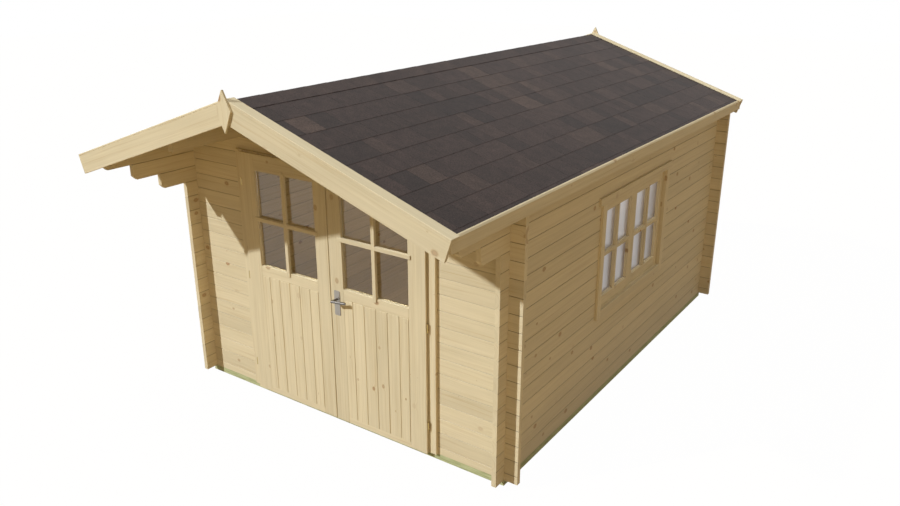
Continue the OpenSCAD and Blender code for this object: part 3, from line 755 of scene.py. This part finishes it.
# %% Ridge cap
CAP_PITCH = 190 * MM
CAP_T = 2.6 * MM
CAP_LIFT = 1.4 * MM
cap_low, cap_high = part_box("ridge_cap")
cap_base = OVER_SHINGLES - 2 * MM
corners = (-SPARE, -CAP_PITCH + 1 * MM, cap_base), (CAP, 0, cap_base + CAP_T)
cap_model = felt_tab("cap_model", *corners, 1, CAP_LIFT)
pick = random.Random(5)
cap_tabs = []
stop = cap_low[1] + CAP_PITCH
while stop < cap_high[1] + CAP_PITCH:
    cap_tabs.append(laid(cap_model, "cap_tab", (0, stop, 0), pick.uniform(0.3, 0.75)))
    stop += CAP_PITCH
cap_right = joined("Ridge_cap", cap_tabs)
cut_off(cap_right, (0, cap_high[1], 0), (0, 1, 0))
onto_slope(cap_right)
cut_off(cap_right, (0, 0, 0), (-1, 0, 0))
ridge_cap = joined("Ridge_cap", [cap_right, mirrored(cap_right, "cap_left")])
hand_over(ridge_cap, "ridge_cap", slot="bitumen_shingle", material=shingle_felt)
for spare in (turned, cap_model, *tab_models.values()):
    bpy.data.objects.remove(spare)
print("ridge cap:", [round(v, 4) for v in ridge_cap.dimensions])

# %% [markdown]
# Barge boards close the roof's ends, and a cover strip holds the shingles down over each. Both are
# planed boards with eased edges, laid flat in their place, tilted onto the slope and sawn plumb where
# the two sides meet at the ridge.

# %% Barge boards and cover strips
BARGE_H = 124 * MM
COVER_T = 12 * MM
PAST_RIDGE = 60 * MM
HALF_SEAM = 0.15 * MM


def slope_boards(name, node, bottom, top, eased):
    """A pair of boards along both slopes, between two heights above the roof boards' underside."""
    low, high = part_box(node)
    right = sawn_bar(name, (-PAST_RIDGE, low[1], bottom), (SLOPE_END, high[1], top), 0, eased)
    onto_slope(right)
    cut_off(right, (HALF_SEAM, 0, 0), (-1, 0, 0))
    pair = joined(name, [right, mirrored(right, name + "_left")])
    hand_over(pair, node)


for end in ("front", "rear"):
    barge = f"{end}_barge_boards"
    slope_boards(f"Barge_boards_{end}", barge, OVER_SHINGLES - BARGE_H, OVER_SHINGLES, 2 * MM)
    cover = f"{end}_cover_strips"
    slope_boards(f"Cover_strips_{end}", cover, OVER_SHINGLES, OVER_SHINGLES + COVER_T, 2.5 * MM)
    print(end, "edge closed by", barge, "and", cover)

# %% [markdown]
# A finial is one upright board. It is sawn from a blank as high and wide as the finial, by two long cuts
# to its tip and two short ones to its foot, and its edges are eased after that.

# %% Finials
FINIAL_HALF = 62 * MM
FINIAL_T = 14 * MM
SHOULDER = 132 * MM
TIP_HALF = 2 * MM
finial_low, finial_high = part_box("finials")
foot, tip = finial_low[2], finial_high[2]
finials = []
for start in (finial_low[1], finial_high[1] - FINIAL_T):
    blank = stretched_cube("blank", (-FINIAL_HALF, start, foot), (FINIAL_HALF, start + FINIAL_T, tip))
    for side in (-1, 1):
        corner = (side * FINIAL_HALF, start, foot + SHOULDER)
        cut_off(blank, corner, (side * SHOULDER, 0, -FINIAL_HALF))
        cut_off(blank, corner, (side * (tip - foot - SHOULDER), 0, FINIAL_HALF - TIP_HALF))
    ease_edges(blank, 1.5 * MM)
    lay_fibres(blank, 2)
    finials.append(blank)
hand_over(joined("Finials", finials), "finials")
print("finial height:", round(tip - foot, 3))

# %% [markdown]
# Fascias close the eaves up to the shingles' upper faces. Their upper edges are planed to the roof's
# pitch, and the outer arris is planed off so that it sheds water.

# %% Fascias
ARRIS = 9 * MM
fascia_top = RIDGE - FASCIA_BACK * math.tan(PITCH) + OVER_SHINGLES / math.cos(PITCH) - FIT
corners = (FASCIA_BACK, ROOF_FRONT, fascia_low[2]), (FASCIA_X, ROOF_REAR, fascia_top)
fascia = sawn_bar("Fascias", *corners, 1, 2 * MM)
cut_off(fascia, (FASCIA_BACK, 0, fascia_top), (math.sin(PITCH), 0, math.cos(PITCH)))
cut_off(fascia, (FASCIA_BACK + ARRIS, 0, fascia_top - ARRIS * math.tan(PITCH)), (1, 0, 1))
fascia = joined("Fascias", [fascia, mirrored(fascia, "fascia_left")])
hand_over(fascia, "fascias")
print("fascias:", [round(v, 3) for v in fascia.dimensions])

# %% [markdown]
# ## Floor, door and window
# Floor boards run from front to back across the joists, 91 mm wide with a small groove at each joint.

# %% Floor boards
FLOOR_BOARDS = 30
floor_low, floor_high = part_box("floor_boards")
width = (floor_high[0] - floor_low[0]) / FLOOR_BOARDS
planks = []
for k in range(FLOOR_BOARDS):
    start = floor_low[0] + k * width
    corners = (start, *floor_low[1:]), (start + width, *floor_high[1:])
    planks.append(sawn_bar("plank", *corners, 1, 2 * MM))
hand_over(joined("Floor_boards", planks), "floor_boards", slot="spruce")
print("floor boards:", FLOOR_BOARDS, "of", round(width * 1000, 1), "mm")

# %% [markdown]
# The door frame has jambs of three layers: a face board on the wall, a web through it and a flange
# inside. Head and sill run between them. Every member is its own bar with eased edges, so a fine joint
# shows where two meet, and the grain turns with each.

# %% Door frame
frame_low, frame_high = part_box("door_frame")
leaf_low, leaf_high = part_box("door_leaf_right")
LOG_T = 34 * MM
LAYERS = [frame_low[1], FRONT, FRONT + LOG_T, frame_high[1]]
REBATE = 799 * MM
OPENING = 856 * MM
SILL = BEAM_TOP + 33 * MM
FLOOR_TOP = BEAM_TOP + 19 * MM
HEAD_FOOT = leaf_high[2] - 13 * MM
outlines = (frame_high[0], BEAM_TOP), (OPENING, BEAM_TOP), (frame_high[0], FLOOR_TOP)
jamb_bars = []
cross_bars = []
for near, far, (outer, foot) in zip(LAYERS, LAYERS[1:], outlines):
    jamb_bars.append(sawn_bar("jamb", (REBATE, near, foot), (outer, far, frame_high[2]), 2))
    for low, high in ((HEAD_FOOT, frame_high[2]), (foot, SILL)):
        cross_bars.append(sawn_bar("cross", (FIT - REBATE, near, low), (REBATE - FIT, far, high), 0))
jamb = joined("jamb_right", jamb_bars)
door_frame = joined("Door_frame", [jamb, mirrored(jamb, "jamb_left"), *cross_bars])
hand_over(door_frame, "door_frame")
print("door frame:", [round(v, 3) for v in door_frame.dimensions])

# %% [markdown]
# A leaf is framed like any joiner's door. Its two stiles run the whole height, and three rails sit
# between them. The outer layer makes the lip that lies over the frame, the inner one is the core. The
# lowest rail's core stands behind the boards.

# %% Framing of a door leaf
STILE = 115 * MM
LIP_BACK = leaf_low[1] + 15 * MM
CORE_OUT = leaf_high[0] - 23 * MM
CORE_FOOT = SILL + 5 * MM
CORE_TOP = leaf_high[2] - 18 * MM
FOOT_RAIL = 92 * MM
glass_low, glass_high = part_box("door_glass_right")
panel_low, panel_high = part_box("door_panel_right")
inner, outer = leaf_low[0] + STILE, CORE_OUT - STILE
light_foot, light_top = glass_low[2] - FIT, glass_high[2] + FIT
panel_foot, panel_top = panel_low[2] - FIT, panel_high[2] + FIT
lip = leaf_low[1], LIP_BACK, 2 * MM
core = LIP_BACK, leaf_high[1], 1.2 * MM
behind = panel_high[1] + SEAM, leaf_high[1], 1.2 * MM
members = [
    ("stile", leaf_low[0], inner, leaf_low[2], leaf_high[2], lip, 2),
    ("stile", outer, leaf_high[0], leaf_low[2], leaf_high[2], lip, 2),
    ("rail", inner, outer, leaf_low[2], panel_foot, lip, 0),
    ("rail", inner, outer, panel_top, light_foot, lip, 0),
    ("rail", inner, outer, light_top, leaf_high[2], lip, 0),
    ("stile", leaf_low[0], inner, CORE_FOOT, CORE_TOP, core, 2),
    ("stile", outer, CORE_OUT, CORE_FOOT, CORE_TOP, core, 2),
    ("rail", inner, outer, panel_top, light_foot, core, 0),
    ("rail", inner, outer, light_top, CORE_TOP, core, 0),
    ("rail", inner, outer, CORE_FOOT, CORE_FOOT + FOOT_RAIL, behind, 0),
]
bars = [
    sawn_bar(kind, (x0, near, z0), (x1, far, z1), grain, eased)
    for kind, x0, x1, z0, z1, (near, far, eased), grain in members
]
leaf_right = joined("Door_leaf_right", bars)
print("leaf:", [round(v, 3) for v in leaf_right.dimensions])

# %% [markdown]
# Below stand upright boards, a little proud of the frame. Their edges are bevelled and stand 3 mm apart,
# which shows as a dark line, and a tongue closes each gap halfway in.

# %% Boards of a door leaf
BOARD = 100 * MM
OPEN_JOINT = 3 * MM
TONGUE = Vector((5 * MM, 3 * MM))
panel_face = leaf_low[1] - 2.5 * MM
panel_middle = (panel_face + panel_high[1]) / 2
edges = [panel_low[0], *(k * BOARD for k in range(2, 7)), panel_high[0]]
boards = []
for low, high in zip(edges, edges[1:]):
    near = (low + OPEN_JOINT / 2, panel_face, panel_low[2])
    far = (high - OPEN_JOINT / 2, panel_high[1], panel_high[2])
    boards.append(sawn_bar("board", near, far, 2, 3.5 * MM))
for edge in edges[1:-1]:
    near = (edge - TONGUE.x, panel_middle - TONGUE.y, panel_low[2])
    far = (edge + TONGUE.x, panel_middle + TONGUE.y, panel_high[2])
    boards.append(sawn_bar("tongue", near, far, 2, 0.5 * MM))
panel_right = joined("Door_panel_right", boards)
print("panel:", len(edges) - 1, "boards of", round(BOARD * 1000), "mm")

# %% [markdown]
# Above, two thin bars cross before the pane and divide it in four. Each is fixed from outside and laps a
# little way over the wood, and a second bar behind it reaches in towards the pane. The finished leaf, its
# boards and its bars are mirrored for the left side.

# %% Bars of a door leaf, and the left leaf
BAR_W = 30 * MM
BAR_OUT = 8 * MM
BAR_SUNK = 2 * MM
BAR_IN = 14 * MM
SET_BACK = 0.6 * MM
left_edge = (glass_low[0] + glass_high[0]) / 2 - BAR_W / 2
right_edge = (glass_low[0] + glass_high[0]) / 2 + BAR_W / 2
under = (light_foot + light_top) / 2 - BAR_W / 2
over = (light_foot + light_top) / 2 + BAR_W / 2
face = leaf_low[1]
out, sunk = face - BAR_OUT, face - BAR_SUNK
bars = [
    sawn_bar("bar", (left_edge, out, light_foot - LAP), (right_edge, face, light_top + LAP), 2, 3 * MM),
    sawn_bar("bar", (left_edge, sunk, light_foot), (right_edge, face + BAR_IN, light_top), 2, 1 * MM),
    sawn_bar("bar", (inner - LAP, out + SET_BACK, under), (outer + LAP, face, over), 0, 3 * MM),
    sawn_bar("bar", (inner, sunk, under), (outer, face + BAR_IN - CLEAR, over), 0, 1 * MM),
]
bars_right = joined("Door_bars_right", bars)
for right, part in ((leaf_right, "leaf"), (panel_right, "panel"), (bars_right, "bars")):
    left = mirrored(right, f"Door_{part}_left")
    for piece, side in ((right, "right"), (left, "left")):
        nodes = [] if part == "bars" else [f"door_{part}_{side}"]
        hand_over(piece, *nodes, body=f"{side}_leaf")
print("glass light:", round(outer - inner, 3), "by", round(light_top - light_foot, 3))

# %% [markdown]
# The handle has a long plate on each face of the leaf, with rounded corners and eased edges, and a screw
# near each end. The screws have domed heads with a round recess for the driver.

# %% Handle plates
PLATE_T = 4 * MM
SCREW_IN = 14 * MM
plate_low, plate_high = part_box("handle_plates")
spindle = (plate_low[0] + plate_high[0]) / 2
plates = []
for near, out in ((plate_low[1], -1), (plate_high[1] - PLATE_T, 1)):
    far = near + PLATE_T
    plate = stretched_cube("plate", (plate_low[0], near, plate_low[2]), (plate_high[0], far, plate_high[2]))
    chosen(plate, "EDGE", lambda a, b: abs(a.y - b.y) > NEAR)
    bpy.ops.mesh.bevel(offset=7 * MM, segments=4, affect="EDGES")
    enter("OBJECT")
    ease_edges(plate, 0.8 * MM)
    plates.append(plate)
    shown = near if out < 0 else far
    for z in (plate_low[2] + SCREW_IN, plate_high[2] - SCREW_IN):
        bpy.ops.object.select_all(action="DESELECT")
        bpy.ops.mesh.primitive_cylinder_add(vertices=20, radius=4 * MM, depth=2.4 * MM)
        screw = bpy.context.object
        screw.location = (spindle, shown + out * 0.6 * MM, z)
        screw.rotation_euler.x = math.pi / 2
        settle(screw)
        ease_edges(screw, 0.9 * MM)
        chosen(screw, "FACE", lambda centre, normal: normal.y * out > 0.9)
        bpy.ops.mesh.inset(thickness=0.9 * MM, depth=-0.5 * MM)
        enter("OBJECT")
        plates.append(screw)
whole_plates = joined("Handle_plates", plates)
hand_over(whole_plates, "handle_plates", body="right_leaf", slot="steel", material=steel)
print("plates and screws:", len(whole_plates.data.polygons), "faces")

# %% [markdown]
# The window is a plain frame in the log wall. Trims cover the sawn log ends round it: two side boards
# under a longer head board, and a foot board between them. Both are built from the window's middle
# outwards, so that left and right agree.

# %% Window frame and trims
FRAME_BAR = 38 * MM
TRIM = 60 * MM
window_low, window_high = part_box("window_frame")
trims_low, trims_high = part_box("window_trims")
centre = (window_low[1] + window_high[1]) / 2
light_z = (window_low[2] - FIT + FRAME_BAR, window_high[2] + FIT - FRAME_BAR)
light_half = (window_high[1] - window_low[1]) / 2 - FRAME_BAR
back, face = window_low[0], window_high[0]


def wall_bar(name, depths, sides, heights, grain, eased=1.5 * MM):
    """A bar in the right wall; sides are distances from the window's middle."""
    low = (depths[0], centre + sides[0], heights[0])
    high = (depths[1], centre + sides[1], heights[1])
    return sawn_bar(name, low, high, grain, eased)


def beside_light(name, depths, width, heights, eased):
    """An upright on either side of the window's opening."""
    pair = []
    for side in (-1, 1):
        middle = side * (light_half + width / 2)
        sides = middle - width / 2, middle + width / 2
        pair.append(wall_bar(name, depths, sides, heights, 2, eased))
    return pair


across = (-light_half, light_half)
frame_bars = beside_light("jamb", (back, face), FRAME_BAR, (window_low[2], window_high[2]), 1.5 * MM)
frame_bars.append(wall_bar("sill", (back, face), across, (window_low[2], light_z[0]), 1))
frame_bars.append(wall_bar("head", (back, face), across, (light_z[1], window_high[2]), 1))
hand_over(joined("Window_frame", frame_bars), "window_frame")

depths = face, trims_high[0]
trims = beside_light("trim", depths, TRIM, (trims_low[2], light_z[1] - CLEAR), 2 * MM)
trims.append(sawn_bar("head", (face, trims_low[1], light_z[1]), trims_high, 1, 2 * MM))
between = CLEAR - light_half, light_half - CLEAR
trims.append(wall_bar("foot", depths, between, (trims_low[2], light_z[0]), 1, 2 * MM))
hand_over(joined("Window_trims", trims), "window_trims")
print("window light:", round(2 * light_half, 3), "by", round(light_z[1] - light_z[0], 3))

# %% [markdown]
# Two sashes stand side by side in the frame. Every sash has its own crossed bars, set between stiles and
# rails and almost flush with them. The bars reach back to the pane, so that no light falls behind them.

# %% Window sashes
SASH_STILE = 48 * MM
BAR_PROUD = 2 * MM
sash_low, sash_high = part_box("window_sashes")
pane_low, pane_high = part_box("window_glass")
sash_rail = pane_low[2] - sash_low[2] - FIT
z0, z1 = sash_low[2], sash_high[2]
sash_depths = sash_low[0], sash_high[0]
front = sash_high[0] + BAR_PROUD
seat = pane_high[0] + FIT
level = (z0 + z1) / 2
sash_bars = []
loose_bars = []
for side in (-1, 1):
    ends = sorted((side * HALF_SEAM, side * (light_half - FIT)))
    inside = ends[0] + SASH_STILE, ends[1] - SASH_STILE
    for sides in ((ends[0], inside[0]), (inside[1], ends[1])):
        sash_bars.append(wall_bar("stile", sash_depths, sides, (z0, z1), 2))
    for heights in ((z0, z0 + sash_rail), (z1 - sash_rail, z1)):
        sash_bars.append(wall_bar("rail", sash_depths, inside, heights, 1))
    mid = sum(inside) / 2
    sides = mid - BAR_W / 2, mid + BAR_W / 2
    loose_bars.append(wall_bar("bar", (seat, front), sides, (z0 + sash_rail, z1 - sash_rail), 2, 2.5 * MM))
    crossing = seat + CLEAR, front - SET_BACK
    heights = level - BAR_W / 2, level + BAR_W / 2
    loose_bars.append(wall_bar("bar", crossing, inside, heights, 1, 2.5 * MM))
hand_over(joined("Window_sashes", sash_bars), "window_sashes")
hand_over(joined("Window_bars", loose_bars))
print("sash rails:", round(sash_rail * 1000, 1), "mm")

# %% [markdown]
# ## Camera, light and surroundings
# The house was seen from its front right, from a little over three metres up.

# %% Camera
EYE = Vector((3.639, FRONT - 3.851, 3.261))
EYE_TURN = math.radians(34.66)
EYE_DOWN = math.radians(20.34)
bpy.ops.object.select_all(action="DESELECT")
bpy.ops.object.camera_add(location=EYE, rotation=(math.pi / 2 - EYE_DOWN, 0, EYE_TURN))
camera = bpy.context.object
camera.name = "Camera"
camera.data.lens = 32.6
camera.data.sensor_width = 36
camera.data.clip_start = 0.05
camera.data.clip_end = 200
bpy.context.scene.camera = camera
print("eye:", [round(v, 2) for v in EYE])

# %% [markdown]
# A low sun stands to the left of the house, so the front is bright and the right wall lies in shade. A
# wide lamp overhead stands for the sky on the roof, and a warm wide one from the right for what the
# ground and the neighbourhood throw back. A soft lamp in the room is the light that comes through door
# and window and is thrown about by pale wood.

# %% Lamps
def sun_lamp(name, turn, height, energy, angle, tint):
    """A sun at a turn from the front's normal, positive to the right. All angles are in degrees."""
    turned_to = (math.radians(90 - height), 0, math.radians(turn))
    bpy.ops.object.light_add(type="SUN", rotation=turned_to)
    lamp = bpy.context.object
    lamp.name = name
    lamp.data.energy = energy
    lamp.data.angle = math.radians(angle)
    lamp.data.color = tint


sun_lamp("Sun", -37.9, 35.4, 3.5, 1.5, (0.88, 0.93, 1.0))
sun_lamp("Zenith", 0, 90, 1.1, 30, (0.96, 0.97, 1.0))
sun_lamp("Side_fill", 52, 20, 0.47, 45, (1.0, 0.78, 0.58))
bpy.ops.object.light_add(type="POINT", location=(0, 0.9, 1.9))
room_lamp = bpy.context.object
room_lamp.name = "Room_glow"
room_lamp.data.energy = 13
room_lamp.data.color = (1.0, 0.88, 0.72)
room_lamp.data.shadow_soft_size = 0.3

# %% [markdown]
# The house stands on white, and yet only a weak warm light comes back from it. So world and floor have
# two looks: seen themselves, in a mirror or through glass, they are almost white, while their light on
# the house is that of a pale yellow yard.

# %% World and floor
def direct_view(tree):
    """1 where the eye sees a thing itself, in a mirror or through glass."""
    paths = add_node(tree, "LightPath").outputs
    seen = [paths["Is Camera Ray"], paths["Is Glossy Ray"]]
    seen = add_node(tree, "Math", seen, operation="MAXIMUM")
    return add_node(tree, "Math", [seen, paths["Is Transmission Ray"]], operation="MAXIMUM")


world = bpy.data.worlds.new("Studio")
bpy.context.scene.world = world
world.use_nodes = True
sky_tree = world.node_tree
sky_tree.nodes.clear()
fill = add_node(sky_tree, "Background", [(1.0, 0.9, 0.72, 1.0), 0.165])
backdrop = add_node(sky_tree, "Background", [(1, 1, 1, 1), 1.0])
sky = add_node(sky_tree, "MixShader", [direct_view(sky_tree), fill, backdrop])
add_node(sky_tree, "OutputWorld", [sky])

bpy.ops.mesh.primitive_plane_add(size=60, location=(0, 0, 0))
ground = bpy.context.object
ground.name = "Floor"
floor_material, floor_tree = new_material("Pale_floor")
paper = add_node(floor_tree, "BsdfDiffuse", [colour("#a68c60")])
glow = add_node(floor_tree, "Emission", [(1, 1, 1, 1), 1.02])
bright = add_node(floor_tree, "Math", [direct_view(floor_tree), 0.97], operation="MULTIPLY")
mix = add_node(floor_tree, "MixShader", [bright, paper, glow])
add_node(floor_tree, "OutputMaterial", [mix])
ground.data.materials.append(floor_material)
bpy.context.scene.view_settings.view_transform = "Standard"
print("floor:", floor_material.name, "world:", world.name)
